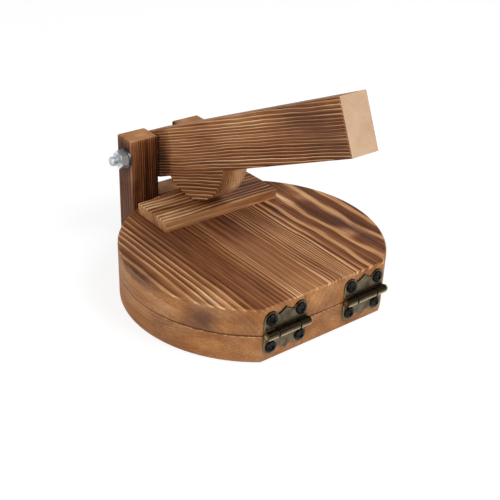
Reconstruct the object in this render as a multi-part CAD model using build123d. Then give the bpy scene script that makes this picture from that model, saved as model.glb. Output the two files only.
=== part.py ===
from build123d import *
import math
import os

# Dumpling wrapper press in scorched pine. Two round boards are hinged along a flat at the front.
# Behind them two posts carry a lever on a bolt, and the half-round cam under the lever bears on a
# small pad glued to the upper board.
#
# The origin is the centre of the round boards, on the table. +X runs along the hinged edge, +Y from
# the hinges back to the posts and +Z up. Lengths are millimetres and angles are degrees.

# Round boards
board_diameter = 150.0
board_thickness = 16.0
flat_length = 83.0
flat_corner_radius = 1.5
stave_joint_x = -14.6
outer_edge_chamfer = 0.8
seam_edge_chamfer = 0.3

# Posts, and the spacer on the tail of the lower board between them
rim_to_posts = 6.2
post_gap = 20.0
post_width = 19.0
post_depth = 15.2
post_above_bolt = 11.7
post_edge_chamfer = 0.5
spacer_height = 12.0
dowel_diameter = 6.0
dowel_in_post = 12.0

# Pivot bolt, nut and washers
bolt_diameter = 6.0
bolt_behind_post_front = 5.2
bolt_beyond_nut = 4.6
bolt_tip_chamfer = 0.7
hexagon_across_flats = 10.0
hexagon_chamfer = 0.7
bolt_head_height = 4.0
nut_thickness = 5.0
nut_turn = 12.0
washer_diameter = 12.0
washer_thickness = 1.2
washer_hole_play = 0.2

# Lever and its cam, cut from one plank
lever_angle = 24.0
lever_reach = 175.0
lever_heel = 10.5
lever_above_bolt = 12.3
lever_below_bolt = 16.5
lever_side_play = 1.25
lever_edge_chamfer = 0.5
heel_top_radius = 2.0
heel_bottom_radius = 8.0
cam_radius = 34.4
cam_ahead_of_bolt = 39.5
cam_above_bolt_line = 1.6

# Pressure pad on the upper board
pad_length = 80.0
pad_width = 29.5
pad_thickness = 6.2
pad_right_of_centre = 2.5
pad_ahead_of_contact = 5.3
pad_edge_chamfer = 0.4

# Scalloped butt hinges on the flat
hinge_end_margin = 0.55
hinge_above_seam = 1.0
leaf_thickness = 0.9
leaf_edge_chamfer = 0.2
leaf_height = 12.6
lobe_radius = 4.4
lobe_valley_angle = 20.0
lobe_valley_radius = 0.4
crown_hollow = 0.4
screw_spacing = 19.0
screw_row_from_pin = 8.1
knuckle_count = 4
knuckle_length = 7.0
barrel_diameter = 4.8
barrel_off_face = 0.2
open_knuckle_gap = 1.2
pin_diameter = 2.4
pin_end_showing = 0.3
pin_knob_diameter = 3.6
pin_knob_length = 2.0
pin_knob_chamfer = 0.8

# Domed cross-head screws of the hinges
screw_head_diameter = 6.6
screw_head_height = 2.0
screw_top_diameter = 4.2
screw_shank_diameter = 2.4
screw_length = 10.0
screw_point_length = 2.5
recess_length = 3.6
recess_width = 0.8
recess_depth = 1.2

# Fits. The running fit and the glued or driven fits are radial.
running_clearance = 0.05
driven_clearance = 0.05
cam_clearance = 0.2
knuckle_gap = 0.2
pilot_hole_extra = 0.3

# Places that follow from the sizes above
board_radius = board_diameter / 2
flat_y = -math.sqrt(board_radius**2 - (flat_length / 2) ** 2)
seam_z = board_thickness
upper_top_z = 2 * board_thickness
pad_top_z = upper_top_z + pad_thickness
post_front_y = board_radius + rim_to_posts
post_back_y = post_front_y + post_depth
post_middle_y = (post_front_y + post_back_y) / 2
post_inner_x = post_gap / 2
post_outer_x = post_inner_x + post_width
spacer_top_z = board_thickness + spacer_height
lever_width = post_gap - 2 * lever_side_play
lever_sine = math.sin(math.radians(lever_angle))
lever_cosine = math.cos(math.radians(lever_angle))

# The cam's lowest point rests on the pad, which sets the height of the bolt.
cam_centre_above_bolt = cam_ahead_of_bolt * lever_sine + cam_above_bolt_line * lever_cosine
cam_centre_ahead_of_bolt = cam_ahead_of_bolt * lever_cosine - cam_above_bolt_line * lever_sine
bolt_y = post_front_y + bolt_behind_post_front
bolt_z = pad_top_z + cam_clearance + cam_radius - cam_centre_above_bolt
contact_y = bolt_y - cam_centre_ahead_of_bolt
post_top_z = bolt_z + post_above_bolt
pad_middle_y = contact_y - pad_ahead_of_contact

# The hinges sit at the two ends of the flat.
leaf_width = screw_spacing + 2 * lobe_radius
hinge_x = flat_length / 2 - hinge_end_margin - leaf_width / 2
hinge_z = seam_z + hinge_above_seam
barrel_radius = barrel_diameter / 2
barrel_out = barrel_off_face + barrel_radius
barrel_length = knuckle_count * knuckle_length
barrel_start = -barrel_length / 2


def block(x_range, y_range, z_range):
    """A box between two limits on each axis."""
    size = [high - low for low, high in (x_range, y_range, z_range)]
    middle = [(high + low) / 2 for low, high in (x_range, y_range, z_range)]
    return Pos(*middle) * Box(*size)


def rod_along_x(radius, x_range, y, z):
    """A round rod, or the space of a hole, that runs along X."""
    length = x_range[1] - x_range[0]
    place = Pos((x_range[0] + x_range[1]) / 2, y, z) * Rot(0, 90, 0)
    return place * Cylinder(radius, length)


def flat_plane(x):
    """The plane of the flat at one hinge: X along the pin, Y up and Z out of the wood."""
    return Plane(origin=(x, flat_y, hinge_z), x_dir=(1, 0, 0), z_dir=(0, -1, 0))


def screw_places(side):
    """Where a leaf's two screws stand on the flat plane; side is 1 for the upper leaf, -1 below."""
    return [(u, side * screw_row_from_pin) for u in (-screw_spacing / 2, screw_spacing / 2)]


# Round boards


def round_board(bottom_z, outer_side):
    """One board: a disc with a flat for the hinges, bevelled outside and slightly at the seam.

    outer_side is 1 where the outer face is the top one and -1 where it is the bottom one."""
    keep = Pos(0, (flat_y + board_radius) / 2) * Rectangle(board_diameter, board_radius - flat_y)
    outline = Circle(board_radius) & keep
    outline = fillet(outline.vertices(), flat_corner_radius)
    board = Pos(0, 0, bottom_z) * extrude(outline, board_thickness)
    outer = board.faces().sort_by(Axis.Z, reverse=outer_side > 0)[0]
    board = chamfer(outer.edges(), outer_edge_chamfer)
    seam = board.faces().sort_by(Axis.Z, reverse=outer_side > 0)[-1]
    return chamfer(seam.edges(), seam_edge_chamfer)


def pilot_holes(side):
    """The screw holes of both hinges in one board."""
    depth = screw_length + pilot_hole_extra
    hole = Cylinder(
        screw_shank_diameter / 2 + driven_clearance, depth, align=(Align.CENTER, Align.CENTER, Align.MAX)
    )
    places = [flat_plane(x) * Pos(u, v, 0) for x in (-hinge_x, hinge_x) for u, v in screw_places(side)]
    return [place * hole for place in places]


def staves(board):
    """The board's two staves, either side of the glue line."""
    reach = board_diameter
    span = (-reach, reach)
    left = board & block((-reach, stave_joint_x), span, span)
    right = board & block((stave_joint_x, reach), span, span)
    return left.solid(), right.solid()


def lower_board():
    """The lower board, with the tail that carries the posts."""
    board = round_board(0, -1)
    board = board + block((-post_inner_x, post_inner_x), (0, post_back_y), (0, board_thickness))
    for hole in pilot_holes(-1):
        board = board - hole
    return board - dowel_space(board_thickness / 2)


def upper_board():
    board = round_board(seam_z, 1)
    for hole in pilot_holes(1):
        board = board - hole
    return board


def pressure_pad():
    half_length = pad_length / 2
    half_width = pad_width / 2
    pad = block(
        (pad_right_of_centre - half_length, pad_right_of_centre + half_length),
        (pad_middle_y - half_width, pad_middle_y + half_width),
        (upper_top_z, pad_top_z),
    )
    pad = chamfer(pad.edges().filter_by(Axis.Z), pad_edge_chamfer)
    return chamfer(pad.faces().sort_by(Axis.Z)[-1].edges(), pad_edge_chamfer)


# Posts, spacer and dowels


def dowel_heights():
    return board_thickness / 2, board_thickness + spacer_height / 2


def dowel_reach():
    return post_inner_x + dowel_in_post


def dowel_space(z):
    """The hole that one dowel fills in the posts and in what stands between them."""
    reach = dowel_reach() + pilot_hole_extra
    return rod_along_x(dowel_diameter / 2 + driven_clearance, (-reach, reach), post_middle_y, z)


def dowels():
    reach = dowel_reach()
    return [rod_along_x(dowel_diameter / 2, (-reach, reach), post_middle_y, z) for z in dowel_heights()]


def post(side):
    """One post; side is -1 on the left and 1 on the right."""
    x_range = sorted((side * post_inner_x, side * post_outer_x))
    solid = block(x_range, (post_front_y, post_back_y), (0, post_top_z))
    solid = chamfer(solid.edges().filter_by(Axis.Z), post_edge_chamfer)
    solid = chamfer(solid.faces().sort_by(Axis.Z)[-1].edges(), post_edge_chamfer)
    solid = solid - rod_along_x(bolt_diameter / 2 + driven_clearance, x_range, bolt_y, bolt_z)
    for z in dowel_heights():
        solid = solid - dowel_space(z)
    return solid


def post_spacer():
    spacer = block(
        (-post_inner_x, post_inner_x), (post_front_y, post_back_y), (board_thickness, spacer_top_z)
    )
    return spacer - dowel_space(dowel_heights()[1])


# Pivot bolt, nut and washers


def bolt_plane(x):
    """A plane across the bolt at x, with its Z pointing to the left."""
    return Plane(origin=(x, bolt_y, bolt_z), x_dir=(0, 1, 0), z_dir=(-1, 0, 0))


def hexagon(height):
    """A hexagonal head or nut blank from 0 to its height, with its corners chamfered."""
    corner_radius = hexagon_across_flats / math.sqrt(3)
    upwards = (Align.CENTER, Align.CENTER, Align.MIN)
    turned = Cylinder(corner_radius, height, align=upwards)
    turned = chamfer(turned.edges().filter_by(GeomType.CIRCLE), hexagon_chamfer)
    return extrude(RegularPolygon(corner_radius, 6), height) & turned


def washer(x):
    """A flat washer whose right face is at x."""
    ring = Circle(washer_diameter / 2) - Circle(bolt_diameter / 2 + washer_hole_play)
    return bolt_plane(x) * extrude(ring, washer_thickness)


def pivot_nut():
    blank = hexagon(nut_thickness)
    hole = Cylinder(bolt_diameter / 2 + driven_clearance, 3 * nut_thickness)
    return bolt_plane(-post_outer_x - washer_thickness) * Rot(0, 0, nut_turn) * (blank - hole)


def pivot_bolt():
    """The bolt from its head on the right post to the thread beyond the nut on the left one."""
    under_head_x = post_outer_x + washer_thickness
    length = 2 * under_head_x + nut_thickness + bolt_beyond_nut
    upwards = (Align.CENTER, Align.CENTER, Align.MIN)
    shank = Cylinder(bolt_diameter / 2, length, align=upwards)
    shank = chamfer(shank.edges().sort_by(Axis.Z)[-1], bolt_tip_chamfer)
    head = Pos(0, 0, -bolt_head_height) * hexagon(bolt_head_height)
    return bolt_plane(under_head_x) * (shank + head)


# Lever


def lever():
    """The lever with its cam, drawn with X along it from the bolt and turned up to its angle."""
    length = lever_heel + lever_reach
    height = lever_above_bolt + lever_below_bolt
    middle = Pos((lever_reach - lever_heel) / 2, (lever_above_bolt - lever_below_bolt) / 2)
    beam = middle * Rectangle(length, height)
    heel = beam.vertices().group_by(Axis.X)[0].sort_by(Axis.Y)
    beam = fillet(heel[0], heel_bottom_radius)
    heel = beam.vertices().group_by(Axis.Y)[-1].sort_by(Axis.X)
    beam = fillet(heel[0], heel_top_radius)
    below = Pos(cam_ahead_of_bolt, -cam_radius) * Rectangle(3 * cam_radius, 2 * cam_radius)
    cam = (Pos(cam_ahead_of_bolt, cam_above_bolt_line) * Circle(cam_radius)) & below
    profile = beam + cam
    plank = extrude(profile, lever_width / 2, both=True)
    sides = plank.faces().sort_by(Axis.Z)
    plank = chamfer(sides[0].edges() + sides[-1].edges(), lever_edge_chamfer)
    plank = plank - Cylinder(bolt_diameter / 2 + running_clearance, 2 * lever_width)
    place = Plane(
        origin=(0, bolt_y, bolt_z), x_dir=(0, -lever_cosine, lever_sine), z_dir=(-1, 0, 0)
    )
    return place * plank


# Hinges


def knuckle_span(index):
    """Start and end of one knuckle along the pin, less half of the gap at each end.

    The first and third gaps along the pin stand open, and the rest run close."""
    start = barrel_start + index * knuckle_length
    gaps = [knuckle_gap, open_knuckle_gap] if index % 2 == 0 else [open_knuckle_gap, knuckle_gap]
    return start + gaps[0] / 2, start + knuckle_length - gaps[1] / 2


def leaf_outline():
    """The upper leaf's face: a plate with two round lobes and a pointed crown between them."""
    half = screw_spacing / 2
    row = screw_row_from_pin
    angle = math.radians(lobe_valley_angle)
    valley = (half - lobe_radius * math.cos(angle), row + lobe_radius * math.sin(angle))
    flank = (valley[0] / 2, (valley[1] + leaf_height) / 2 - crown_hollow)
    crown_edges = [
        Line((-half, row), (-valley[0], valley[1])),
        ThreePointArc((-valley[0], valley[1]), (-flank[0], flank[1]), (0, leaf_height)),
        ThreePointArc((0, leaf_height), flank, valley),
        Line(valley, (half, row)),
        Line((half, row), (-half, row)),
    ]
    plate = Pos(0, row / 2) * Rectangle(leaf_width, row)
    lobes = [Pos(u, row) * Circle(lobe_radius) for u in (-half, half)]
    outline = plate + lobes + make_face(crown_edges)
    corners = outline.vertices().filter_by(lambda corner: math.isclose(abs(corner.X), valley[0]))
    return fillet(corners, lobe_valley_radius)


def hinge_leaf(side, x):
    """A leaf with its knuckles; side is 1 for the upper leaf and -1 for the lower one."""
    plate = extrude(leaf_outline(), leaf_thickness)
    front = plate.faces().sort_by(Axis.Z)[-1]
    rim = front.edges().filter_by(lambda edge: edge.center().Y > leaf_edge_chamfer)
    plate = chamfer(rim, leaf_edge_chamfer)
    if side < 0:
        plate = mirror(plate, Plane.XZ)
    reach = 2 * barrel_diameter
    slot_height = barrel_radius + knuckle_gap
    plate = plate - block((-leaf_width, leaf_width), (-slot_height, slot_height), (-reach, reach))
    tongue = sorted((0, side * slot_height))
    for index in range(0 if side < 0 else 1, knuckle_count, 2):
        span = knuckle_span(index)
        plate = plate + block(span, tongue, (0, leaf_thickness))
        plate = plate + rod_along_x(barrel_radius, span, 0, barrel_out)
    bore_radius = pin_diameter / 2 + running_clearance
    plate = plate - rod_along_x(bore_radius, (-leaf_width, leaf_width), 0, barrel_out)
    for u, v in screw_places(side):
        hole = Cylinder(screw_shank_diameter / 2 + driven_clearance, reach)
        plate = plate - Pos(u, v, 0) * hole
    return flat_plane(x) * plate


def hinge_pin(x):
    """The pin, plain at the left end and with a round knob at the right."""
    start = barrel_start - pin_end_showing
    end = barrel_start + barrel_length
    pin = rod_along_x(pin_diameter / 2, (start, end + pin_knob_length / 2), 0, barrel_out)
    knob = rod_along_x(pin_knob_diameter / 2, (end, end + pin_knob_length), 0, barrel_out)
    knob = chamfer(knob.edges().filter_by(GeomType.CIRCLE), pin_knob_chamfer)
    return flat_plane(x) * (pin + knob)


def hinge_screw():
    """A wood screw along Z, its head on the face of a leaf and its point in the wood."""
    shank_radius = screw_shank_diameter / 2
    head_radius = screw_head_diameter / 2
    top_radius = screw_top_diameter / 2
    under_head = leaf_thickness
    top = under_head + screw_head_height
    point_end = screw_point_length - screw_length
    outline = [
        Line((0, -screw_length), (shank_radius, point_end)),
        Line((shank_radius, point_end), (shank_radius, under_head)),
        Line((shank_radius, under_head), (head_radius, under_head)),
        Line((head_radius, under_head), (top_radius, top)),
        Line((top_radius, top), (0, top)),
        Line((0, top), (0, -screw_length)),
    ]
    screw = revolve(Plane.XZ * make_face(outline), Axis.Z)
    for angle in (0, 90):
        arm = Rot(0, 0, angle) * Box(recess_length, recess_width, 2 * recess_depth)
        screw = screw - Pos(0, 0, top) * arm
    return screw


def hinge_screws(side, x):
    return [flat_plane(x) * Pos(u, v, 0) * hinge_screw() for u, v in screw_places(side)]


def hinge_nodes(name, x):
    """Every piece of one hinge, by node name."""
    return {
        f"{name}_hinge_upper_leaf": hinge_leaf(1, x),
        f"{name}_hinge_lower_leaf": hinge_leaf(-1, x),
        f"{name}_hinge_pin": hinge_pin(x),
        f"{name}_hinge_upper_screws": hinge_screws(1, x),
        f"{name}_hinge_lower_screws": hinge_screws(-1, x),
    }


# Whole press

lower_left, lower_right = staves(lower_board())
upper_left, upper_right = staves(upper_board())

nodes = {
    "lower_board_left_stave": lower_left,
    "lower_board_right_stave": lower_right,
    "upper_board_left_stave": upper_left,
    "upper_board_right_stave": upper_right,
    "pressure_pad": pressure_pad(),
    "left_post": post(-1),
    "right_post": post(1),
    "post_spacer": post_spacer(),
    "cross_dowels": dowels(),
    "pivot_bolt": pivot_bolt(),
    "pivot_nut": pivot_nut(),
    "left_washer": washer(-post_outer_x),
    "right_washer": washer(post_outer_x + washer_thickness),
    "lever": lever(),
}
nodes.update(hinge_nodes("left", -hinge_x))
nodes.update(hinge_nodes("right", hinge_x))

os.makedirs("parts", exist_ok=True)
for name, shape in nodes.items():
    if isinstance(shape, list):
        shape = Compound(children=shape)
    export_step(shape, f"parts/{name}.step")
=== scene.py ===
import math
from functools import partial

import bmesh
import bpy
from mathutils import Matrix, Vector


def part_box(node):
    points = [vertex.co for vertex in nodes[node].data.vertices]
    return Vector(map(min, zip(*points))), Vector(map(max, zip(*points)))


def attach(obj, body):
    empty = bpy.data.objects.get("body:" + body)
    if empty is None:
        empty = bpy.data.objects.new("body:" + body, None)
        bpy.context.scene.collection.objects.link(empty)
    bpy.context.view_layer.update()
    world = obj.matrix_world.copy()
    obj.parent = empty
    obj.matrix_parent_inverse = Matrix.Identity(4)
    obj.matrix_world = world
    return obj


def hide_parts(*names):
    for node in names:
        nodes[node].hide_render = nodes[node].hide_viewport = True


# Dumpling wrapper press in torched and brushed pine, with zinc-plated bolt hardware and two small
# bronzed hinges. Sizes of the press are written in millimetres and turned to metres where they are
# used.

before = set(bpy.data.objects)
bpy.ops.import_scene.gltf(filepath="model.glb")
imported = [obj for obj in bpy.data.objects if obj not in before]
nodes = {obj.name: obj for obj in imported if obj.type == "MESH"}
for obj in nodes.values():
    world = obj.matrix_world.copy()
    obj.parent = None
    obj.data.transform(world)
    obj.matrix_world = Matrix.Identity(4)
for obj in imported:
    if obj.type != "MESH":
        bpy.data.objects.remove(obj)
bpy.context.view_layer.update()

MM = 0.001


# Nodes and colours


def linear(colour):
    """An sRGB hex colour as linear red, green, blue and alpha."""
    parts = [int(colour[i : i + 2], 16) / 255 for i in (1, 3, 5)]
    return [c / 12.92 if c <= 0.04045 else ((c + 0.055) / 1.055) ** 2.4 for c in parts] + [1.0]


def grey(value):
    """An even grey as linear red, green, blue and alpha."""
    return [value, value, value, 1.0]


def add(tree, kind, inputs=(), stops=(), **settings):
    """Adds a node with its settings, its ramp's stops, and its inputs as values or links."""
    node = tree.nodes.new("ShaderNode" + kind)
    for name, value in settings.items():
        setattr(node, name, value)
    if stops:
        elements = node.color_ramp.elements
        for _ in range(len(stops) - len(elements)):
            elements.new(1.0)
        for element, (position, colour) in zip(elements, stops):
            element.position = position
            element.color = colour
    for key, value in dict(inputs).items():
        named = [s for s in node.inputs if s.enabled and s.name == key]
        socket = node.inputs[key] if isinstance(key, int) else named[0]
        if isinstance(value, bpy.types.Node):
            value = next(s for s in value.outputs if s.enabled)
        if isinstance(value, bpy.types.NodeSocket):
            tree.links.new(value, socket)
        else:
            socket.default_value = value
    return node


def new_material(name):
    """A new material and its surface shader."""
    material = bpy.data.materials.new(name)
    material.use_nodes = True
    return material, material.node_tree.nodes["Principled BSDF"]


def wire(material, surface, **values):
    """Links values to the surface shader's sockets; an underscore stands for a space."""
    for name, value in values.items():
        output = value if isinstance(value, bpy.types.NodeSocket) else value.outputs[0]
        material.node_tree.links.new(output, surface.inputs[name.replace("_", " ")])


def ramp_stops(low, high, pairs, colour=grey):
    """Stops of a ramp that runs from low to high, from (place, value) pairs."""
    return [((place - low) / (high - low), colour(value)) for place, value in pairs]


# Torched pine. A gas flame chars the soft early wood, a wire brush takes most of the char away, and
# oil darkens what is left: warm mid brown with thin raised light lines where the hard late wood
# stands proud, and nearly black where the flame stayed.
TORCHED = [
    (0.00, linear("#1c0b04")),
    (0.15, linear("#40200d")),
    (0.30, linear("#66391e")),
    (0.45, linear("#875434")),
    (0.60, linear("#a46f46")),
    (0.75, linear("#c28f61")),
    (0.90, linear("#dcae7e")),
    (1.00, linear("#f3d0a4")),
]
# Sanded after the flame, so that only a light toasted tan is left.
SANDED = [
    (0.00, linear("#4b2c1b")),
    (0.25, linear("#7d5439")),
    (0.45, linear("#986845")),
    (0.60, linear("#a97a52")),
    (0.80, linear("#bf9166")),
    (1.00, linear("#d8b189")),
]
# Sawn after the flame: bare end grain.
BARE = [
    (0.00, linear("#9c7352")),
    (0.40, linear("#b89373")),
    (1.00, linear("#cbae92")),
]
# Soot, which also serves as the colour of painted shade.
SOOT = linear("#4a3a38")
GOLDEN = [1.0, 0.90, 0.74, 1.0]

# Over one year of growth: the share of light ridge in red, and of dark furrow beside it in green.
YEAR = [
    (0.00, [0.0, 0.35, 0.0, 1.0]),
    (0.22, [0.0, 0.00, 0.0, 1.0]),
    (0.30, [0.2, 0.00, 0.0, 1.0]),
    (0.38, [1.0, 0.00, 0.0, 1.0]),
    (0.59, [1.0, 0.00, 0.0, 1.0]),
    (0.64, [0.1, 1.00, 0.0, 1.0]),
    (0.78, [0.0, 0.85, 0.0, 1.0]),
    (1.00, [0.0, 0.35, 0.0, 1.0]),
]
# How much each noise changes the tone of torched wood, and of sanded wood.
UNEVEN_TONE = {"cloud": (0.4, 0.8), "streak": (0.55, 0.2), "fibre": (0.36, 0.6)}
# In millimetres: the height of the rings' small waver, how far the edge of a mark of the flame
# strays and how far apart its bends are, and how far the hard lines stand proud of the wood.
WAVER_HEIGHT = 0.18
MARK_STRAYS = 8.0
MARK_BENDS = 25 / 3
RIDGE_HEIGHT = 0.2


def slanted(node, facing):
    """Share of a slant: 0.25 on a face at 45 degrees to an axis, and none where it faces the axis
    or lies along it. Facing is the part of its normal along the axis."""
    square = node("Math", {0: facing, 1: facing}, operation="MULTIPLY")
    rest = node("Math", {0: 1.0, 1: square}, operation="SUBTRACT")
    return node("Math", {0: rest, 1: square}, operation="MULTIPLY")


def grain_noise(node, grain, drift_length, drift_width):
    """The noises of one plank by name, each with its length along and across the grain: the slow
    drift of the rings, their small waver, clouds of heat, where the brush left the ridges, streaks,
    fibres and warmer patches."""
    sizes = {
        "drift": (drift_length, drift_width, 1.5),
        "waver": (24.0, 9.0, 1.0),
        "cloud": (70.0, 9.0, 3.0),
        "brushed": (60.0, 4.0, 2.0),
        "streak": (80.0, 1.0, 2.0),
        "fibre": (14.0, 0.45, 2.0),
        "warmth": (26.0, 11.0, 1.0),
    }
    noise = {}
    for pattern, (length, width, detail) in sizes.items():
        stretched = node(
            "VectorMath", {0: grain, 1: (1 / length, 1 / width, 1 / width)}, operation="MULTIPLY"
        )
        noise[pattern] = node("TexNoise", {"Vector": stretched, "Scale": 1.0, "Detail": detail})
    return noise


def ring_radius(node, grain, noise, drift_height):
    """Distance from the pith, which the rings' drift and waver change. Noise stays mostly between
    0.25 and 0.75, which become minus and plus the height."""
    radius = node("VectorMath", {0: grain, 1: (0.0, 1.0, 1.0)}, operation="MULTIPLY")
    radius = node("VectorMath", {0: radius}, operation="LENGTH").outputs["Value"]
    for pattern, height in (("drift", drift_height), ("waver", WAVER_HEIGHT)):
        lift = node(
            "Math", {0: noise[pattern], 1: 4 * height, 2: -2 * height}, operation="MULTIPLY_ADD"
        )
        radius = node("Math", {0: radius, 1: lift}, operation="ADD")
    return radius


def ridges_and_furrows(node, year, noise, thin):
    """The light ridge and dark furrow of each year, with a width and a strength of their own."""
    whole = node("Math", {0: year}, operation="FLOOR")
    chance = node("TexWhiteNoise", {"W": whole}, noise_dimensions="1D")
    part = node("Math", {0: year}, operation="FRACT")
    part = node("Math", {0: part, 1: 0.5}, operation="SUBTRACT")
    least, most = thin
    narrow = node("MapRange", {"Value": chance.outputs["Value"], "To Min": least, "To Max": most})
    part = node("Math", {0: part, 1: narrow, 2: 0.5}, operation="MULTIPLY_ADD", use_clamp=True)
    lines = node("SeparateColor", {0: node("ValToRGB", {"Fac": part}, stops=YEAR)})
    strong = node("MapRange", {"Value": chance.outputs["Color"], "To Min": 0.6, "To Max": 1.0})
    brushed = node(
        "MapRange",
        {"Value": noise["brushed"], "From Min": 0.34, "From Max": 0.5, "To Min": 0.55},
    )
    strong = node("Math", {0: strong, 1: brushed}, operation="MULTIPLY")
    ridge = node("Math", {0: lines.outputs["Red"], 1: strong}, operation="MULTIPLY")
    furrow = node("Math", {0: lines.outputs["Green"], 1: brushed}, operation="MULTIPLY")
    return ridge, furrow


def flame_and_light_marks(node, grain, point, marks):
    """Change of tone, and share of soot colour, where the flame stayed or missed, and where light
    and shade are painted, all with uneven edges.
    """
    stray = node("TexNoise", {"Vector": grain, "Scale": 1 / MARK_BENDS, "Detail": 2.0})
    stray = node(
        "VectorMath", {0: stray.outputs["Color"], 1: (0.5, 0.5, 0.5)}, operation="SUBTRACT"
    )
    stray = node(
        "VectorMath", {0: stray, 1: [MARK_STRAYS * MM] * 3, 2: point}, operation="MULTIPLY_ADD"
    )
    change = 0.0
    soot = 0.0
    for centre, size, lighter, blacker in marks:
        spot = node(
            "Mapping",
            {"Vector": stray, "Location": Vector(centre) * MM, "Scale": Vector(size) * MM},
            vector_type="TEXTURE",
        )
        spot = node("TexGradient", {"Vector": spot}, gradient_type="SPHERICAL").outputs["Fac"]
        change = node("Math", {0: spot, 1: lighter, 2: change}, operation="MULTIPLY_ADD")
        soot = node("Math", {0: spot, 1: blacker, 2: soot}, operation="MULTIPLY_ADD")
    return change, soot


def arrises_lit_and_rubbed(node, normal, axes, rubbed, change):
    """Adds to a change of tone at the arrises round faces across the axes. An arris is a narrow
    face at 45 degrees. Those that face up are painted paler, partly wear and partly a painted
    highlight of light from above, and those that face down are painted darker, a painted shade."""
    upward = node("SeparateXYZ", {"Vector": normal}).outputs["Z"]
    paler = node("Math", {0: upward, 1: rubbed}, operation="MULTIPLY")
    for axis in axes:
        facing = node("VectorMath", {0: normal, 1: axis}, operation="DOT_PRODUCT").outputs["Value"]
        slant = slanted(node, facing)
        arris = node("MapRange", {"Value": slant, "From Min": 0.15, "From Max": 0.25})
        change = node("Math", {0: arris, 1: paler, 2: change}, operation="MULTIPLY_ADD")
    return change


def seam_lines(node, point, seams, change):
    """Adds to a change of tone along seams, each across X, Y or Z at its place."""
    split = node("SeparateXYZ", {"Vector": point})
    for axis, place, width, lighter in seams:
        gap = node("Math", {0: split.outputs[axis], 1: place * MM}, operation="SUBTRACT")
        gap = node("Math", {0: gap}, operation="ABSOLUTE")
        gap = node(
            "MapRange", {"Value": gap, "From Max": width * MM, "To Min": lighter, "To Max": 0.0}
        )
        change = node("Math", {0: gap, 1: change}, operation="ADD")
    return change


def charred_faces(node, normal, axes):
    """Share of the char that is kept: all of it on faces across the axes, none on the others."""
    kept = None
    for axis in axes:
        facing = node("VectorMath", {0: normal, 1: axis}, operation="DOT_PRODUCT")
        facing = node("Math", {0: facing.outputs["Value"]}, operation="ABSOLUTE")
        facing = node("MapRange", {"Value": facing, "From Min": 0.5, "From Max": 0.8})
        kept = node("Math", {0: facing, 1: kept}, operation="MAXIMUM") if kept else facing
    return kept


def sawn_end(node, normal, axis, reach, radius, furrow, cloud, colour):
    """Puts bare end grain in place of the colour on the end that faces the axis. Its rings come
    to show over the reach, which is given as distances from the pith."""
    facing = node("VectorMath", {0: normal, 1: axis}, operation="DOT_PRODUCT").outputs["Value"]
    facing = node("MapRange", {"Value": facing, "From Min": 0.9, "From Max": 0.98})
    first, last = reach
    shown = node("MapRange", {"Value": radius, "From Min": first, "From Max": last})
    shown = node("Math", {0: furrow, 1: shown}, operation="MULTIPLY")
    raw = node("Math", {0: shown, 1: -0.5, 2: 0.82}, operation="MULTIPLY_ADD")
    cloud = node("Math", {0: cloud, 1: 0.5}, operation="SUBTRACT")
    raw = node("Math", {0: cloud, 1: 0.7, 2: raw}, operation="MULTIPLY_ADD")
    raw = node("ValToRGB", {"Fac": raw}, stops=BARE)
    return node("Mix", {"Factor": facing, 6: colour, 7: raw}, data_type="RGBA").outputs[2]


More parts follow.
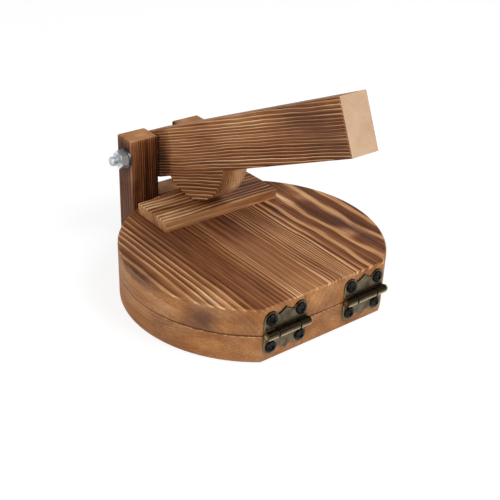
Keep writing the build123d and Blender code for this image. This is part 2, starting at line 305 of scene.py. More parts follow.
def torched_pine(
    name,
    pith,
    turn,
    reach,
    growth,
    ground,
    ridges,
    drift=(0.6, 45.0, 14.0),
    thin=(0.65, 1.25),
    furrow_depth=0.45,
    pale_lines=0.06,
    golden=0.1,
    torched=((0, 0, 1),),
    edges=None,
    rubbed=0.1,
    marks=(),
    seams=(),
    bare=None,
    bare_reach=None,
):
    """Torched and brushed pine plank with rings round its pith. Lengths are millimetres.

    turn: degrees that bring X along the grain
    reach: nearest and farthest wood from the pith
    growth: ring number by distance from the pith
    ground, ridges: tone between the light lines and on them, by distance from the pith
    drift: height of the rings' drift, and its length along and across the grain
    thin: least and most of how thin the lines are
    furrow_depth: how dark the dark lines are, as a share of how light the light ones are
    pale_lines: contrast of the rings on sanded faces
    golden: least share of golden tint on sanded faces
    torched: axes across whose faces the char is kept
    edges: axes of the faces with rubbed and painted-lit arrises, where they differ from the torched
    ones
    rubbed: how pale the arrises that face up are painted, partly wear and partly a painted
    highlight, and how dark those that face down, a painted shade
    marks: where the flame stayed or missed, and painted light and shade, as (centre, size, change
    of tone, soot)
    seams: as (axis, place, width, change of tone)
    bare, bare_reach: axis of a sawn end, and the distances over which its rings come to show
    """
    near, far = reach
    rings = growth[-1][1]
    drift_height, drift_length, drift_width = drift
    material, surface = new_material(name)
    node = partial(add, material.node_tree)
    coordinates = node("TexCoord")
    point = coordinates.outputs["Object"]
    normal = coordinates.outputs["Normal"]
    # The plank's own millimetres, with X along the grain and the pith on the X axis.
    grain = node(
        "Mapping",
        {
            "Vector": point,
            "Location": Vector(pith) * MM,
            "Rotation": [math.radians(a) for a in turn],
            "Scale": (MM, MM, MM),
        },
        vector_type="TEXTURE",
    )
    noise = grain_noise(node, grain, drift_length, drift_width)

    # The ring number grows by one for each year, from the pith outwards.
    radius = ring_radius(node, grain, noise, drift_height)
    share = node("MapRange", {"Value": radius, "From Min": near, "From Max": far})
    years = ramp_stops(near, far, [(distance, number / rings) for distance, number in growth])
    year = node("ValToRGB", {"Fac": share}, stops=years)
    year = node("Math", {0: year, 1: rings}, operation="MULTIPLY")
    ridge, furrow = ridges_and_furrows(node, year, noise, thin)

    # Tone of torched wood, from 0 for black to 1 for palest, and of sanded wood.
    low = node("ValToRGB", {"Fac": share}, stops=ramp_stops(near, far, ground))
    high = node("ValToRGB", {"Fac": share}, stops=ramp_stops(near, far, ridges))
    relief = node("Math", {0: furrow, 1: -furrow_depth, 2: ridge}, operation="MULTIPLY_ADD")
    contrast = node("Math", {0: high, 1: low}, operation="SUBTRACT")
    tone = node("Math", {0: relief, 1: contrast, 2: low}, operation="MULTIPLY_ADD")
    pale = node("Math", {0: relief, 1: pale_lines, 2: 0.5}, operation="MULTIPLY_ADD")
    for pattern, (gain, pale_gain) in UNEVEN_TONE.items():
        uneven = node("Math", {0: noise[pattern], 1: 0.5}, operation="SUBTRACT")
        tone = node("Math", {0: uneven, 1: gain, 2: tone}, operation="MULTIPLY_ADD")
        pale = node("Math", {0: uneven, 1: pale_gain, 2: pale}, operation="MULTIPLY_ADD")
    change, soot = flame_and_light_marks(node, grain, point, marks)
    change = arrises_lit_and_rubbed(node, normal, edges or torched, rubbed, change)
    change = seam_lines(node, point, seams, change)
    tone = node("Math", {0: tone, 1: change}, operation="ADD")
    pale = node("Math", {0: pale, 1: change}, operation="ADD")

    burnt = node("ValToRGB", {"Fac": tone}, stops=TORCHED)
    sanded = node("ValToRGB", {"Fac": pale}, stops=SANDED)
    warm = node(
        "MapRange",
        {"Value": noise["warmth"], "From Min": 0.42, "From Max": 0.6, "To Min": golden},
    )
    sanded = node(
        "Mix", {"Factor": warm, 6: sanded, 7: GOLDEN}, data_type="RGBA", blend_type="MULTIPLY"
    ).outputs[2]
    kept = charred_faces(node, normal, torched)
    colour = node("Mix", {"Factor": kept, 6: sanded, 7: burnt}, data_type="RGBA").outputs[2]
    colour = node("Mix", {"Factor": soot, 6: colour, 7: SOOT}, data_type="RGBA").outputs[2]
    if bare:
        cloud = noise["cloud"]
        colour = sawn_end(node, normal, bare, bare_reach, radius, furrow, cloud, colour)

    # The hard lines stand proud where the char is kept, and fibres show everywhere.
    relief = node("Math", {0: noise["fibre"], 1: 0.4, 2: relief}, operation="MULTIPLY_ADD")
    relief = node("Math", {0: relief, 1: kept}, operation="MULTIPLY")
    relief = node("Math", {0: noise["fibre"], 1: 0.3, 2: relief}, operation="MULTIPLY_ADD")
    bump = node("Bump", {"Height": relief, "Distance": RIDGE_HEIGHT * MM, "Strength": 0.8})
    gloss = node("MapRange", {"Value": noise["fibre"], "To Min": 0.42, "To Max": 0.68})
    wire(material, surface, Base_Color=colour, Roughness=gloss, Normal=bump)
    surface.inputs["IOR"].default_value = 1.46
    # Oil that has soaked into charred fibres leaves little shine.
    surface.inputs["Specular IOR Level"].default_value = 0.1
    return material


# Metals

# In millimetres: the grit that tumbling left on the blanks, and its height.
GRIT = 0.4
GRIT_HEIGHT = 0.02


def plated_metal(name, dull, bright, roughness, patch=6.0):
    """Plated steel: the plating varies between two colours in patches a few millimetres wide.

    Returns the material, its surface shader and the colour, which may be changed further."""
    material, surface = new_material(name)
    node = partial(add, material.node_tree)
    point = node("TexCoord").outputs["Object"]
    cloud = node("TexNoise", {"Vector": point, "Scale": 1 / (patch * MM), "Detail": 4.0})
    grit = node("TexNoise", {"Vector": point, "Scale": 1 / (GRIT * MM), "Detail": 2.0})
    colour = node(
        "ValToRGB", {"Fac": cloud}, stops=[(0.35, linear(dull)), (0.65, linear(bright))]
    )
    gloss = node(
        "MapRange", {"Value": cloud, "To Min": roughness + 0.12, "To Max": roughness - 0.12}
    )
    bump = node("Bump", {"Height": grit, "Distance": GRIT_HEIGHT * MM, "Strength": 0.6})
    wire(material, surface, Base_Color=colour, Roughness=gloss, Normal=bump)
    surface.inputs["Metallic"].default_value = 1.0
    return material, surface, colour


def bronzed_steel():
    """Thin stamped steel with dark bronze plating. The edges are rubbed to brass. What faces up,
    mostly the tops of the barrels, is painted near black, a painted shade and a painted dark
    reflection, and the front of the barrels is brass, partly rubbed and partly a painted highlight."""
    material, surface, colour = plated_metal("bronzed_steel", "#544b3c", "#7a6d58", 0.42, patch=4.0)
    node = partial(add, material.node_tree)
    normal = node("TexCoord").outputs["Normal"]
    forward = node("SeparateXYZ", {"Vector": normal}).outputs["Y"]
    up = node("VectorMath", {0: normal, 1: (0.0, -0.25, 0.97)}, operation="DOT_PRODUCT")
    rubbed = node("VectorMath", {0: normal, 1: (0.0, -0.9, -0.44)}, operation="DOT_PRODUCT")
    # Rubbed edges; painted shade and dark reflection on what faces up; rubbed brass and a painted
    # highlight on the front of the barrels.
    layers = [
        (slanted(node, forward), 0.17, 0.25, "#938766"),
        (up.outputs["Value"], 0.2, 0.75, "#221b10"),
        (rubbed.outputs["Value"], 0.915, 0.985, "#b8a27a"),
    ]
    colour = colour.outputs[0]
    for amount, low, high, tint in layers:
        share = node("MapRange", {"Value": amount, "From Min": low, "From Max": high})
        mixed = node("Mix", {"Factor": share, 6: colour, 7: linear(tint)}, data_type="RGBA")
        colour = mixed.outputs[2]
    wire(material, surface, Base_Color=colour)
    return material


# Electroplated zinc on rolled steel: bright blue-grey, and painted darker on the washers, a
# painted shade beside the nut and the bolt's head.
zinc = plated_metal("zinc_plated_steel", "#b2b7bc", "#e2e5e7", 0.42)[0]
shaded_zinc = plated_metal("shaded_zinc_plated_steel", "#55585b", "#83878a", 0.5)[0]
bronze = bronzed_steel()
# The pins turn in their barrels, so their plating is worn thin.
worn_bronze = plated_metal("worn_bronzed_steel", "#8a7858", "#bfa97e", 0.42, patch=3.0)[0]
# Heat-blackened steel screws: nearly black, with a soft shine.
blackened = plated_metal("blackened_steel", "#181715", "#33312d", 0.38, patch=3.0)[0]


# Planks of the boards. The pith lies below each upper board and above each lower one. The lines
# are wide apart right above or below it, and close together far from it to the side.
RIGHT_GROWTH = [
    (28.0, 0.0), (44.9, 6.0), (45.6, 6.52), (48.7, 7.52), (51.25, 8.52), (53.4, 9.52),
    (54.9, 10.6), (60.3, 16.52), (66.6, 20.52), (82.0, 25.0),
]
RIGHT_GROUND = [
    (28.0, 0.30), (45.2, 0.30), (45.35, 0.52), (45.9, 0.50), (46.2, 0.32), (47.4, 0.32),
    (47.9, 0.46), (53.5, 0.48), (60.0, 0.49), (61.0, 0.44), (67.2, 0.44), (68.2, 0.42),
    (71.0, 0.48), (82.0, 0.52),
]
RIGHT_RIDGES = [
    (28.0, 0.36), (45.2, 0.36), (45.35, 0.80), (45.9, 0.78), (46.2, 0.38), (47.4, 0.38),
    (47.9, 0.88), (53.5, 0.90), (60.0, 0.76), (61.0, 0.80), (67.0, 0.82), (68.2, 0.50),
    (71.0, 0.54), (82.0, 0.58),
]
LEFT_GROWTH = [
    (35.0, 0.0), (51.0, 5.52), (54.3, 6.52), (56.7, 7.52), (58.9, 8.52), (61.3, 9.52),
    (64.6, 10.52), (67.5, 11.52), (80.0, 17.0), (87.4, 20.0), (94.0, 25.3),
]
LEFT_GROUND = [
    (35.0, 0.50), (51.0, 0.52), (62.0, 0.50), (64.6, 0.45), (69.0, 0.38), (79.0, 0.38),
    (82.0, 0.46), (86.5, 0.48), (87.6, 0.56), (94.0, 0.56),
]
LEFT_RIDGES = [
    (35.0, 0.88), (51.0, 0.92), (62.0, 0.90), (64.6, 0.76), (68.0, 0.64), (70.0, 0.46),
    (79.0, 0.46), (82.0, 0.66), (86.5, 0.70), (87.6, 0.92), (94.0, 0.92),
]
# Painted shade, with a little soot, lies on the board in front of and under the pad, and the
# flame hardly reached the wood above the flat.
SHADE_UNDER_PAD = ((4.0, 26.0, 32.0), (40.0, 34.0, 9.0), -0.22, 0.2)
ABOVE_FLAT = ((-6.0, -60.0, 32.0), (28.0, 18.0, 12.0), 0.13, 0.0)
# Painted shade, deepened with soot colour, lies in the gaps of the hinges behind their barrels.
LEFT_HINGE_GAP_SHADE = ((-27.0, -62.5, 18.4), (17.0, 5.0, 3.2), -0.6, 0.5)
RIGHT_HINGE_GAP_SHADE = ((27.0, -62.5, 18.4), (17.0, 5.0, 3.2), -0.6, 0.5)
# Where the staves of each board are glued, and where the boards meet. Along the seam between the
# boards a painted shade darkens the upper board's edge, and a painted highlight lightens the
# arris of the lower board.
GLUE_LINE = (0, -14.6, 0.6, -0.25)
SEAM_SHADE = (2, 16.0, 1.3, -0.8)
SEAM_ARRIS_HIGHLIGHT = (2, 16.0, 0.9, 0.2)
upper_right = torched_pine(
    "torched_pine_upper_right",
    pith=(52.0, 0.0, -13.0),
    turn=(0.0, 0.0, 90.0),
    reach=(28.0, 82.0),
    growth=RIGHT_GROWTH,
    ground=RIGHT_GROUND,
    ridges=RIGHT_RIDGES,
    drift=(0.6, 36.0, 24.0),
    thin=(0.45, 0.95),
    marks=[
        ((53.5, -22.0, 32.0), (7.0, 30.0, 12.0), -0.10, 0.5),
        ABOVE_FLAT,
        SHADE_UNDER_PAD,
        ((48.0, 32.0, 32.0), (16.0, 20.0, 10.0), 0.25, 0.0),
        RIGHT_HINGE_GAP_SHADE,
    ],
    seams=(GLUE_LINE, SEAM_SHADE),
)
upper_left = torched_pine(
    "torched_pine_upper_left",
    pith=(-95.0, 0.0, -13.0),
    turn=(0.0, 0.0, 90.0),
    reach=(35.0, 94.0),
    growth=LEFT_GROWTH,
    ground=LEFT_GROUND,
    ridges=LEFT_RIDGES,
    drift=(0.5, 60.0, 18.0),
    thin=(0.5, 1.05),
    marks=[
        ((-58.0, -42.0, 32.0), (16.0, 18.0, 10.0), 0.26, 0.0),
        ((-63.3, -40.2, 23.0), (13.0, 14.0, 13.0), -0.22, 0.7),
        ((-74.0, 0.0, 31.0), (9.0, 20.0, 4.5), -0.16, 0.5),
        ((-54.0, 24.0, 32.0), (30.0, 28.0, 9.0), -0.08, 0.25),
        ABOVE_FLAT,
        SHADE_UNDER_PAD,
        LEFT_HINGE_GAP_SHADE,
    ],
    seams=(GLUE_LINE, SEAM_SHADE),
)
lower_right = torched_pine(
    "torched_pine_lower_right",
    pith=(30.0, 0.0, 52.0),
    turn=(0.0, 0.0, 90.0),
    reach=(30.0, 90.0),
    growth=[(30.0, 0.0), (50.0, 9.5), (62.0, 17.0), (90.0, 36.0)],
    ground=[(30.0, 0.44), (50.0, 0.34), (60.0, 0.46), (90.0, 0.42)],
    ridges=[(30.0, 0.60), (50.0, 0.76), (60.0, 0.66), (90.0, 0.60)],
    seams=(GLUE_LINE, SEAM_ARRIS_HIGHLIGHT),
)
lower_left = torched_pine(
    "torched_pine_lower_left",
    pith=(-88.0, 0.0, 55.0),
    turn=(0.0, 0.0, 90.0),
    reach=(35.0, 100.0),
    growth=[(35.0, 0.0), (55.0, 9.5), (72.0, 20.0), (100.0, 38.0)],
    ground=[(35.0, 0.44), (55.0, 0.44), (70.0, 0.32), (100.0, 0.44)],
    ridges=[(35.0, 0.60), (55.0, 0.76), (70.0, 0.56), (100.0, 0.66)],
    marks=[((-72.0, -20.0, 14.0), (9.0, 12.0, 6.0), -0.12, 0.2)],
    seams=(GLUE_LINE, SEAM_ARRIS_HIGHLIGHT),
)
pad_pine = torched_pine(
    "torched_pine_pad",
    pith=(0.0, 110.0, -12.0),
    turn=(0.0, 0.0, 0.0),
    reach=(66.0, 98.0),
    growth=[(66.0, 0.0), (98.0, 12.0)],
    ground=[(66.0, 0.44), (98.0, 0.44)],
    ridges=[(66.0, 0.84), (98.0, 0.84)],
    drift=(0.9, 40.0, 7.0),
    thin=(0.45, 1.1),
    furrow_depth=0.4,
    rubbed=0.0,
    pale_lines=0.2,
    marks=[
        ((-32.0, 34.0, 38.0), (28.0, 12.0, 8.0), 0.34, 0.0),
        ((-32.0, 58.0, 38.0), (26.0, 9.0, 8.0), 0.34, 0.0),
        # Painted shade under the lever and the cam, with soot of the flame, on the right of the
        # pad.
        ((26.0, 46.0, 38.0), (38.0, 30.0, 7.0), -0.14, 0.3),
    ],
)
post_pine = torched_pine(
    "torched_pine_posts",
    pith=(-75.0, 60.0, 0.0),
    turn=(0.0, -90.0, 0.0),
    reach=(40.0, 112.0),
    growth=[(40.0, 0.0), (112.0, 50.0)],
    ground=[(40.0, 0.21), (112.0, 0.21)],
    ridges=[(40.0, 0.45), (112.0, 0.45)],
    drift=(0.5, 40.0, 12.0),
    torched=((1, 0, 0), (0, 1, 0)),
    golden=0.9,
    marks=[
        ((-29.0, 80.0, 46.0), (6.5, 6.0, 60.0), 0.22, 0.0),
        ((-20.0, 80.0, 68.0), (24.0, 10.0, 24.0), 0.10, 0.0),
        ((-13.0, 80.0, 26.0), (12.0, 10.0, 50.0), -0.14, 0.0),
        ((-20.0, 89.0, 68.0), (26.0, 22.0, 5.0), 0.22, 0.0),
        # Painted sheen: the outer face of the left post is made greyer with soot colour, and a
        # little paler.
        ((-30.0, 88.0, 30.0), (4.0, 28.0, 90.0), 0.12, 0.5),
        # Painted shadow round the nut, on the outer face of the left post.
        ((-29.5, 86.4, 55.3), (3.0, 11.0, 13.0), -0.30, 0.0),
        ((1.0, 93.0, 28.0), (20.0, 15.0, 8.0), 0.45, 0.0),
    ],
)
# In degrees: the lever rises by this angle from the bolt, and its grain runs out by a little.
LEVER_ANGLE = 24.0
GRAIN_RUN_OUT = 2.4
slope = math.radians(LEVER_ANGLE)
lever_pine = torched_pine(
    "torched_pine_lever",
    pith=(-131.0, 86.4, -44.0),
    turn=(0.0, GRAIN_RUN_OUT - LEVER_ANGLE, -90.0),
    reach=(120.0, 190.0),
    growth=[(120.0, 0.0), (160.0, 40.0), (190.0, 62.0)],
    ground=[(120.0, 0.42), (150.0, 0.45), (158.0, 0.52), (190.0, 0.54)],
    ridges=[(120.0, 0.96), (150.0, 0.94), (158.0, 0.96), (190.0, 1.04)],
    drift=(0.3, 60.0, 16.0),
    thin=(1.1, 1.8),
    furrow_depth=0.5,
    marks=[
        ((-9.0, 60.0, 66.0), (12.0, 50.0, 34.0), 0.04, 0.0),
        ((-9.0, -54.0, 118.0), (12.0, 50.0, 18.0), -0.14, 0.4),
        ((-9.0, 4.0, 94.0), (12.0, 34.0, 22.0), 0.10, 0.0),
        # Painted light on the front of the cam, which faces down.
        ((3.5, 26.0, 55.0), (10.5, 26.0, 24.0), 0.55, 0.0),
        # Painted shade, with char, on the lever beside the left post.
        ((-9.0, 78.5, 54.0), (7.0, 11.0, 26.0), -0.40, 0.3),
    ],
    torched=((1, 0, 0), (0, math.sin(slope), math.cos(slope))),
    edges=((1, 0, 0),),
    bare=(0, -math.cos(slope), math.sin(slope)),
    bare_reach=(150.0, 164.0),
)
# The hidden dowels are plain pale wood, made from the same rings.
beech = torched_pine(
    "plain_beech_dowel",
    pith=(0.0, 70.0, 0.0),
    turn=(0.0, 0.0, 0.0),
    reach=(5.0, 45.0),
    growth=[(5.0, 0.0), (45.0, 20.0)],
    ground=[(5.0, 0.86), (45.0, 0.86)],
    ridges=[(5.0, 0.94), (45.0, 0.94)],
    torched=((1, 0, 0),),
)

finishes = {
    "upper_board_right_stave": upper_right,
    "upper_board_left_stave": upper_left,
    "lower_board_right_stave": lower_right,
    "lower_board_left_stave": lower_left,
    "pressure_pad": pad_pine,
    "left_post": post_pine,
    "right_post": post_pine,
    "post_spacer": post_pine,
    "cross_dowels": beech,
    "lever": lever_pine,
    "left_washer": shaded_zinc,
    "right_washer": shaded_zinc,
}
for side in ("left", "right"):
    finishes[f"{side}_hinge_upper_leaf"] = bronze
    finishes[f"{side}_hinge_lower_leaf"] = bronze
    finishes[f"{side}_hinge_pin"] = worn_bronze
for name, finish in finishes.items():
    for slot in nodes[name].material_slots:
        slot.material = finish


# Turned pieces: the bolt and nut, and the hinge screws

# What counts as the same place, and the step between rings that carry a thread or a chamfer.
SAME = 0.01
FINE_STEP = 0.1

BOLT_RADIUS = 3.0
BOLT_HEAD_HEIGHT = 4.0
BOLT_TIP_CHAMFER = 0.7
THREAD_LENGTH = 22.0
THREAD_PITCH = 1.0
THREAD_DEPTH = 0.55
# Where the flank leaves the crest and where it meets the root, as shares of the pitch from the
# middle of the crest.
THREAD_CREST_EDGE = 1 / 11
THREAD_ROOT_EDGE = 5 / 11
# The thread comes up over the first of these lengths at the tip, and runs out over the second.
THREAD_LEAD_IN = 0.3
THREAD_RUN_OUT = 1.5

HEXAGON_ACROSS_FLATS = 10.0
HEXAGON_CORNER_RADIUS = HEXAGON_ACROSS_FLATS / 2 / math.cos(math.pi / 6)
HEXAGON_SEGMENTS = 72
# A ring on the flat of the end face, the circle where the chamfer starts, how much the chamfer
# falls for each millimetre outwards, and how far from the end face its curved edges stay.
HEXAGON_FACE_RADIUS = 4.6
HEXAGON_CHAMFER_RADIUS = 4.95
HEXAGON_CHAMFER_FALL = 0.55
HEXAGON_CHAMFER_REACH = 1.0
NUT_BORE_CLEARANCE = 0.05
NUT_COUNTERSINK = 0.5
NUT_TURN = 40.0

SCREW_LENGTH = 10.4
SCREW_POINT = 2.5
SCREW_SHANK_RADIUS = 1.2
SCREW_HEAD_HEIGHT = 2.0
SCREW_HEAD_RADIUS = 3.3
SCREW_RIM = 0.45
SCREW_ARRIS = 0.15
SCREW_SEGMENTS = 48
SCREW_DOME_STEPS = 12
RECESS_REACH = 1.7
RECESS_HALF_WIDTH = 0.4
RECESS_DEPTH = 1.1
# Size of the recess at its floor, as a share of its size at the mouth.
RECESS_TAPER = 0.72
# In degrees: the turn at which the first screw stops, and how much further the second screw of a
# leaf and the first one of the next leaf are turned.
FIRST_TURN = 8.0
SECOND_SCREW_TURN = 52.0
NEXT_LEAF_TURN = 23.0


def turned(outline, segments):
    """A turned mesh round Z from its outline of (radius, height) pairs in millimetres."""
    mesh = bmesh.new()
    points = [mesh.verts.new((radius * MM, 0.0, height * MM)) for radius, height in outline]
    edges = [mesh.edges.new(pair) for pair in zip(points, points[1:])]
    bmesh.ops.spin(
        mesh,
        geom=points + edges,
        axis=(0.0, 0.0, 1.0),
        angle=math.tau,
        steps=segments,
        use_merge=True,
    )
    bmesh.ops.remove_doubles(mesh, verts=mesh.verts, dist=1e-7)
    bmesh.ops.recalc_face_normals(mesh, faces=mesh.faces)
    return mesh


def steps(start, end, size):
    """Heights from start to end, about one size apart."""
    count = max(1, round(abs(end - start) / size))
    return [start + (end - start) * i / count for i in range(count + 1)]


def reshape(mesh, wanted):
    """Moves each point of a turned mesh to the radius that is wanted for its own radius, height
    and angle."""
    for vert in mesh.verts:
        radius = math.hypot(vert.co.x, vert.co.y) / MM
        if radius > 0.0:
            angle = math.atan2(vert.co.y, vert.co.x)
            scale = wanted(radius, vert.co.z / MM, angle) / radius
            vert.co.x *= scale
            vert.co.y *= scale


def cut_thread(mesh, low, high):
    """Cuts a helical thread into the bolt's shank between two heights."""

    def threaded(radius, height, angle):
        if abs(radius - BOLT_RADIUS) > SAME or not low < height < high:
            return radius
        phase = (height / THREAD_PITCH - angle / math.tau) % 1.0
        rise = THREAD_ROOT_EDGE - abs(phase - 0.5)
        flank = min(1.0, max(0.0, rise / (THREAD_ROOT_EDGE - THREAD_CREST_EDGE)))
        fade = min(1.0, (high - height) / THREAD_LEAD_IN, (height - low) / THREAD_RUN_OUT)
        return BOLT_RADIUS - THREAD_DEPTH * (1.0 - flank) * fade

    reshape(mesh, threaded)


def cut_hexagon(mesh, faces):
    """Cuts a turned blank to a hexagon, with its corners chamfered at end faces given by height."""

    def hexagonal(radius, height, angle):
        if abs(radius - HEXAGON_CORNER_RADIUS) > SAME:
            return radius
        flat = HEXAGON_ACROSS_FLATS / 2 / math.cos(angle % (math.pi / 3) - math.pi / 6)
        nearest = min(abs(height - face) for face in faces)
        return min(flat, HEXAGON_CHAMFER_RADIUS + nearest / HEXAGON_CHAMFER_FALL)

    reshape(mesh, hexagonal)


def finish_piece(name, mesh, body, material, replaced, crease=30.0):
    """Makes an object of a finished mesh, rides it on its body and puts it for its node."""
    data = bpy.data.meshes.new(name)
    mesh.to_mesh(data)
    mesh.free()
    data.shade_smooth()
    data.set_sharp_from_angle(angle=math.radians(crease))
    data.materials.append(material)
    piece = bpy.data.objects.new(name, data)
    bpy.context.scene.collection.objects.link(piece)
    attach(piece, body)
    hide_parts(replaced)


def bolt_axis(x):
    """The place of a turned piece on the pivot bolt: its Z runs to the left from x, in metres."""
    low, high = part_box("pivot_bolt")
    middle = [(a + b) / 2 for a, b in zip(low, high)]
    across = Vector((0.0, 1.0, 0.0))
    axis = Vector((-1.0, 0.0, 0.0))
    turn = Matrix((across, axis.cross(across), axis)).transposed().to_4x4()
    return Matrix.Translation((x, middle[1], middle[2])) @ turn


def pivot_bolt():
    """Zinc-plated hexagon bolt, threaded at its nut end, where its tip is chamfered."""
    low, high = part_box("pivot_bolt")
    length = (high[0] - low[0]) / MM
    head = BOLT_HEAD_HEIGHT
    tip = BOLT_RADIUS - BOLT_TIP_CHAMFER
    thread_start = length - THREAD_LENGTH
    sides = steps(0.0, HEXAGON_CHAMFER_REACH, FINE_STEP) + [head - SAME, head]
    outline = [(0.0, 0.0), (HEXAGON_FACE_RADIUS, 0.0)]
    outline += [(HEXAGON_CORNER_RADIUS, z) for z in sides]
    outline += [(BOLT_RADIUS, z) for z in [head] + steps(thread_start, length, FINE_STEP)]
    outline += [(tip, length), (0.0, length)]
    mesh = turned(outline, HEXAGON_SEGMENTS)
    cut_hexagon(mesh, [0.0])
    cut_thread(mesh, thread_start, length - SAME)
    reshape(mesh, lambda radius, height, angle: min(radius, tip + (length - height)))
    bmesh.ops.recalc_face_normals(mesh, faces=mesh.faces)
    mesh.transform(bolt_axis(high[0]))
    finish_piece("threaded_bolt", mesh, "base", zinc, "pivot_bolt")


def pivot_nut():
    """Zinc-plated hexagon nut, chamfered on both sides. Its bore is plain, as the bolt fills it."""
    low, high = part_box("pivot_nut")
    thickness = (high[0] - low[0]) / MM
    bore = BOLT_RADIUS + NUT_BORE_CLEARANCE
    mouth = bore + NUT_COUNTERSINK
    sides = steps(0.0, HEXAGON_CHAMFER_REACH, FINE_STEP)
    sides += steps(thickness - HEXAGON_CHAMFER_REACH, thickness, FINE_STEP)
    outline = [(mouth, 0.0), (HEXAGON_FACE_RADIUS, 0.0)]
    outline += [(HEXAGON_CORNER_RADIUS, z) for z in sides]
    outline += [(HEXAGON_FACE_RADIUS, thickness), (mouth, thickness)]
    outline += [(bore, thickness - NUT_COUNTERSINK), (bore, NUT_COUNTERSINK), (mouth, 0.0)]
    mesh = turned(outline, HEXAGON_SEGMENTS)
    cut_hexagon(mesh, [0.0, thickness])
    bmesh.ops.recalc_face_normals(mesh, faces=mesh.faces)
    turn = Matrix.Rotation(math.radians(NUT_TURN), 4, "Z")
    mesh.transform(bolt_axis(high[0]) @ turn)
    finish_piece("chamfered_nut", mesh, "base", zinc, "pivot_nut")


def sink_recess(mesh):
    """Sinks a cross into the dome of a screw that stands along Z."""
    for axis in (Vector((1, 0, 0)), Vector((0, 1, 0))):
        for offset in (-RECESS_REACH, -RECESS_HALF_WIDTH, RECESS_HALF_WIDTH, RECESS_REACH):
            dome = [f for f in mesh.faces if f.calc_center_median().z > SCREW_RIM * MM]
            edges = {edge for face in dome for edge in face.edges}
            points = {vert for face in dome for vert in face.verts}
            bmesh.ops.bisect_plane(
                mesh,
                geom=dome + list(edges) + list(points),
                plane_co=axis * offset * MM,
                plane_no=axis,
            )
    arms = []
    for face in mesh.faces:
        x, y, z = face.calc_center_median() / MM
        inside = max(abs(x), abs(y)) < RECESS_REACH and min(abs(x), abs(y)) < RECESS_HALF_WIDTH
        if inside and z > SCREW_RIM:
            arms.append(face)
    sunk = bmesh.ops.extrude_face_region(mesh, geom=arms)
    bmesh.ops.delete(mesh, geom=arms, context="FACES")
    for vert in [part for part in sunk["geom"] if isinstance(part, bmesh.types.BMVert)]:
        vert.co.x *= RECESS_TAPER
        vert.co.y *= RECESS_TAPER
        vert.co.z = (SCREW_HEAD_HEIGHT - RECESS_DEPTH) * MM
    bmesh.ops.recalc_face_normals(mesh, faces=mesh.faces)


def domed_screw(turn):
    """A domed cross-head screw along Z, with the underside of its head at 0."""
    rise = SCREW_HEAD_HEIGHT - SCREW_RIM
    outline = [
        (0.0, -SCREW_LENGTH),
        (SCREW_SHANK_RADIUS, SCREW_POINT - SCREW_LENGTH),
        (SCREW_SHANK_RADIUS, 0.0),
        (SCREW_HEAD_RADIUS - SCREW_ARRIS, 0.0),
        (SCREW_HEAD_RADIUS, SCREW_ARRIS),
    ]
    for i in range(SCREW_DOME_STEPS + 1):
        angle = math.radians(90.0 * i / SCREW_DOME_STEPS)
        outline.append((SCREW_HEAD_RADIUS * math.cos(angle), SCREW_RIM + rise * math.sin(angle)))
    mesh = turned(outline, SCREW_SEGMENTS)
    sink_recess(mesh)
    mesh.transform(Matrix.Rotation(math.radians(turn), 4, "Z"))
    return mesh


def hinge_screws(node_name, body, first_turn):
    """The two screws of one leaf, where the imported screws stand."""
    low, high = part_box(node_name)
    middle_z = (low[2] + high[2]) / 2
    reach = SCREW_HEAD_RADIUS * MM
    under_head = low[1] + SCREW_HEAD_HEIGHT * MM
    outwards = Matrix(((1, 0, 0), (0, 0, -1), (0, 1, 0))).to_4x4()
    pair = bmesh.new()
    for x, turn in ((low[0] + reach, 0.0), (high[0] - reach, SECOND_SCREW_TURN)):
        screw = domed_screw(first_turn + turn)
        screw.transform(Matrix.Translation((x, under_head, middle_z)) @ outwards)
        data = bpy.data.meshes.new("screw")
        screw.to_mesh(data)
        screw.free()
        pair.from_mesh(data)
        bpy.data.meshes.remove(data)
    name = node_name.replace("hinge", "domed")
    finish_piece(name, pair, body, blackened, node_name, crease=40.0)


pivot_bolt()
pivot_nut()
screw_turn = FIRST_TURN
for side in ("left", "right"):
    for leaf, body in (("upper", "upper_board"), ("lower", "base")):
        hinge_screws(f"{side}_hinge_{leaf}_screws", body, screw_turn)
        screw_turn += NEXT_LEAF_TURN


# Floor, light and camera

bpy.ops.mesh.primitive_plane_add(size=12.0)
floor = bpy.context.object
floor.name = "floor"
# White paper. It glows to the camera, in reflections too, so that it comes out white, and lights
# the press like plain paper.
paper, surface = new_material("white_paper_floor")
node = partial(add, paper.node_tree)
rays = node("LightPath")
seen = node(
    "Math",
    {0: rays.outputs["Is Camera Ray"], 1: rays.outputs["Is Glossy Ray"]},
    operation="MAXIMUM",
)
seen = node("Math", {0: seen, 1: rays.outputs["Is Transmission Ray"]}, operation="MAXIMUM")
glow = node("Emission", {"Color": grey(1.0), "Strength": 0.8})
shade = node("BsdfDiffuse", {"Color": grey(0.28)})
white = node("AddShader", {0: glow, 1: shade})
dull = node("BsdfDiffuse", {"Color": grey(0.8)})
both = node("MixShader", {0: seen, 1: dull, 2: white})
paper.node_tree.links.new(both.outputs[0], paper.node_tree.nodes["Material Output"].inputs[0])
floor.data.materials.append(paper)

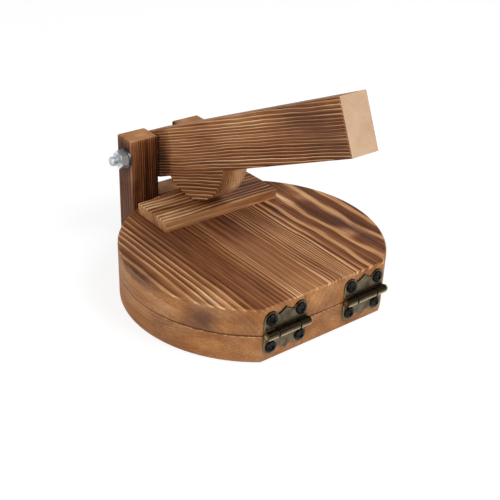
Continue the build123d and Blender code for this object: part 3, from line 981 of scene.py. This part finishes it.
# A studio with pale walls and a darker ceiling, by the height of the direction.
world = bpy.data.worlds.new("studio")
bpy.context.scene.world = world
world.use_nodes = True
node = partial(add, world.node_tree)
height = node("SeparateXYZ", {"Vector": node("TexCoord").outputs["Generated"]}).outputs["Z"]
walls = [(0.0, grey(1.0)), (0.3, grey(1.0)), (0.6, grey(0.4)), (1.0, grey(0.25))]
sky = node("ValToRGB", {"Fac": height}, stops=walls)
world.node_tree.links.new(sky.outputs[0], world.node_tree.nodes["Background"].inputs["Color"])


def softbox(name, place, target, size, power):
    """A square area lamp that faces its target. Places are metres."""
    lamp = bpy.data.lights.new(name, "AREA")
    lamp.size = size
    lamp.energy = power
    holder = bpy.data.objects.new(name, lamp)
    bpy.context.scene.collection.objects.link(holder)
    holder.location = place
    holder.rotation_euler = (Vector(target) - Vector(place)).to_track_quat("-Z", "Y").to_euler()


softbox("key", (0.35, -0.65, 0.95), (0.0, 0.0, 0.03), 0.6, 7.0)
softbox("fill", (-0.9, -0.3, 0.6), (0.0, 0.0, 0.03), 0.7, 3.0)

# The camera stands where the photograph's perspective puts it: its focal length, the point that it
# looks at and its distance from it in millimetres, and its angles in degrees. The roll is the tilt
# of the picture.
FOCAL_LENGTH = 65.382
TARGET = (-1.297, 0.003, 23.778)
DISTANCE = 513.361
AZIMUTH = -38.8051
ELEVATION = 29.606
ROLL = 2.2208

camera = bpy.data.objects.new("camera", bpy.data.cameras.new("camera"))
bpy.context.scene.collection.objects.link(camera)
bpy.context.scene.camera = camera
camera.data.sensor_width = 36.0
camera.data.lens = FOCAL_LENGTH
camera.data.clip_start = 0.01
azimuth, elevation, roll = (math.radians(angle) for angle in (AZIMUTH, ELEVATION, ROLL))
back = Vector(
    (
        math.sin(azimuth) * math.cos(elevation),
        -math.cos(azimuth) * math.cos(elevation),
        math.sin(elevation),
    )
)
right = (-back).cross(Vector((0, 0, 1))).normalized()
up = right.cross(-back)
axes = Matrix(
    (
        right * math.cos(roll) + up * math.sin(roll),
        up * math.cos(roll) - right * math.sin(roll),
        back,
    )
).transposed()
camera.location = (Vector(TARGET) + back * DISTANCE) * MM
camera.rotation_euler = axes.to_euler()

bpy.context.scene.view_settings.view_transform = "Standard"
